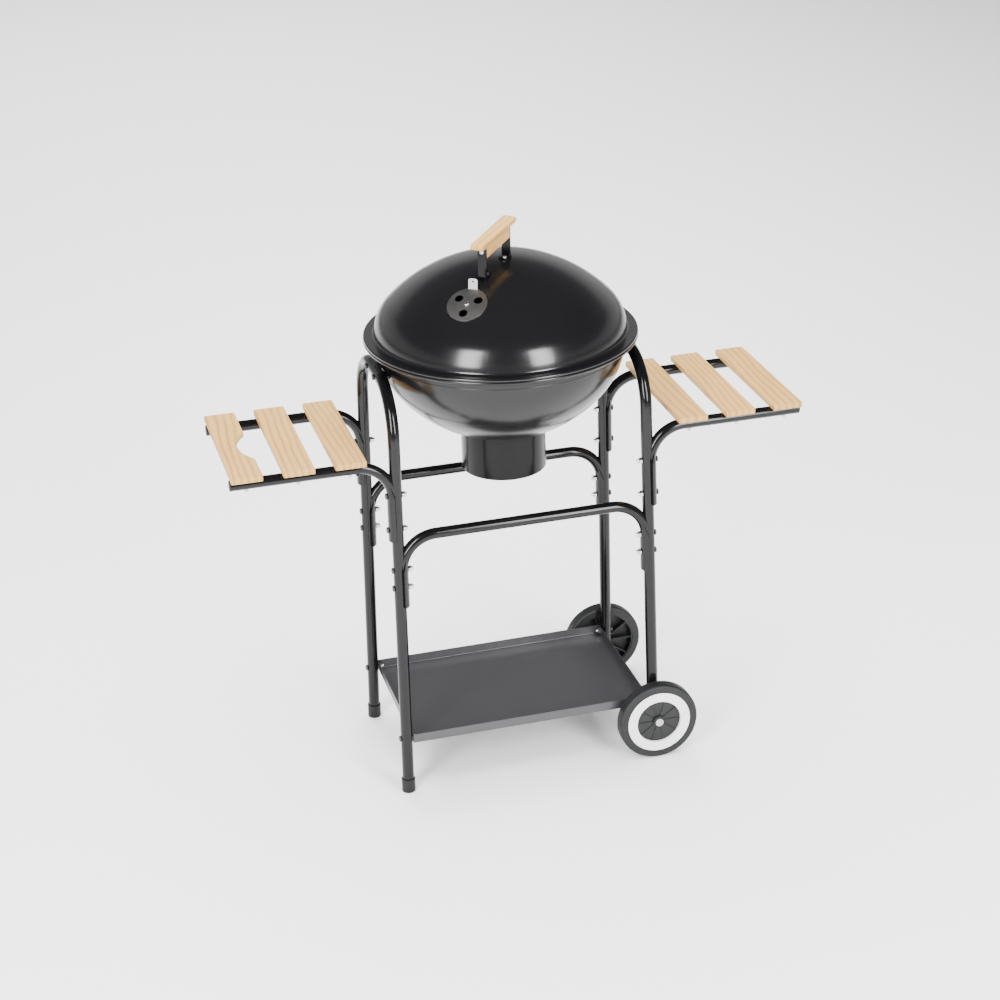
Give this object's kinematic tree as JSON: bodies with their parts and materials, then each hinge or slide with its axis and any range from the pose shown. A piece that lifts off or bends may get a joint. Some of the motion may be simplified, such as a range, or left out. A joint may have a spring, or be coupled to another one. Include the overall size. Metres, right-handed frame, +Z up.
{
  "type": "kettle charcoal grill",
  "caption": "Kettle charcoal grill with a domed lid, ash pot, slatted wooden side tables and a bottom tray on a bent-tube stand with a pair of wheels.",
  "frame": {"origin": "on the ground under the axis of the kettle", "axes": "+X towards the wheeled end, +Y towards the rear, +Z up"},
  "size_m": [1.0278, 0.483, 1.0223],
  "materials": {
    "frame_paint": "satin",
    "enamel": "gloss enamel",
    "tray_paint": "satin",
    "zinc_bolt": "zinc plated",
    "pine": "smooth",
    "foot_plastic": "matte",
    "tyre_plastic": "matte",
    "ring_plastic": "matte",
    "disc_plastic": "matte",
    "cap_plastic": "matte",
    "steel": "plain",
    "grate_steel": "plated wire",
    "damper_steel": "brushed"
  },
  "bodies": {
    "stand": {"frame_left": "frame_paint", "frame_right": "frame_paint", "crossbar_front": "frame_paint", "crossbar_rear": "frame_paint", "table_rail_left_front": "frame_paint", "table_rail_left_rear": "frame_paint", "table_rail_right_front": "frame_paint", "table_rail_right_rear": "frame_paint", "bowl_spacer_left_front": "frame_paint", "bowl_spacer_left_rear": "frame_paint", "bowl_spacer_right_front": "frame_paint", "bowl_spacer_right_rear": "frame_paint", "bowl": "enamel", "ash_collar": "enamel", "bottom_tray": "tray_paint", "crossbar_bolts": "zinc_bolt", "crossbar_nuts": "zinc_bolt", "table_bolts": "zinc_bolt", "table_nuts": "zinc_bolt", "tray_bolts": "zinc_bolt", "tray_nuts": "zinc_bolt", "bowl_bolts": "zinc_bolt", "bowl_nuts": "zinc_bolt", "slat_screws": "zinc_bolt", "slat_left_1": "pine", "slat_left_2": "pine", "slat_left_3": "pine", "slat_right_1": "pine", "slat_right_2": "pine", "slat_right_3": "pine", "foot_cap_front": "foot_plastic", "foot_cap_rear": "foot_plastic", "table_rail_plugs": "foot_plastic", "hub_caps": "cap_plastic", "axle": "steel", "axle_washers": "steel", "grate_tabs": "steel"},
    "lid": {"lid": "enamel", "lid_damper_rivet": "steel", "handle_bracket_near": "frame_paint", "handle_bracket_far": "frame_paint", "handle_grip": "pine", "handle_bolts": "zinc_bolt", "handle_nuts": "zinc_bolt", "handle_screws": "zinc_bolt"},
    "lid_damper": {"lid_damper": "damper_steel"},
    "ash_pot": {"ash_pot": "enamel", "pot_damper_rivet": "steel"},
    "pot_damper": {"pot_damper": "steel"},
    "wheel_front": {"wheel_front_tyre": "tyre_plastic", "wheel_front_ring": "ring_plastic", "wheel_front_disc": "disc_plastic"},
    "wheel_rear": {"wheel_rear_tyre": "tyre_plastic", "wheel_rear_ring": "ring_plastic", "wheel_rear_disc": "disc_plastic"},
    "cooking_grate": {"cooking_grate_ring": "grate_steel", "cooking_grate_bars": "grate_steel"},
    "charcoal_grate": {"charcoal_grate_ring": "grate_steel", "charcoal_grate_bars": "grate_steel"}
  },
  "joints": [
    {"name": "lid_lift", "type": "slide", "parent": "stand", "child": "lid", "axis": [0, 0, 1], "range_m": [0, 0.35]},
    {"name": "lid_damper_turn", "type": "hinge", "parent": "lid", "child": "lid_damper", "pos_m": [-0.0885, -0.116, 0.91273], "axis": [-0.3145, -0.4122, 0.8551], "range_deg": [0, 60]},
    {"name": "ash_pot_drop", "type": "slide", "parent": "stand", "child": "ash_pot", "axis": [0, 0, -1], "range_m": [0, 0.06]},
    {"name": "pot_damper_turn", "type": "hinge", "parent": "ash_pot", "child": "pot_damper", "pos_m": [0, 0, 0.558], "axis": [0, 0, 1], "range_deg": [0, 45]},
    {"name": "wheel_front_spin", "type": "hinge", "parent": "stand", "child": "wheel_front", "pos_m": [0.23502, -0.1635, 0.075], "axis": [0, 1, 0], "continuous": true},
    {"name": "wheel_rear_spin", "type": "hinge", "parent": "stand", "child": "wheel_rear", "pos_m": [0.23502, 0.1635, 0.075], "axis": [0, 1, 0], "continuous": true},
    {"name": "cooking_grate_lift", "type": "slide", "parent": "stand", "child": "cooking_grate", "axis": [0, 0, 1], "range_m": [0, 0.018]},
    {"name": "charcoal_grate_lift", "type": "slide", "parent": "stand", "child": "charcoal_grate", "axis": [0, 0, 1], "range_m": [0, 0.06]}
  ]
}
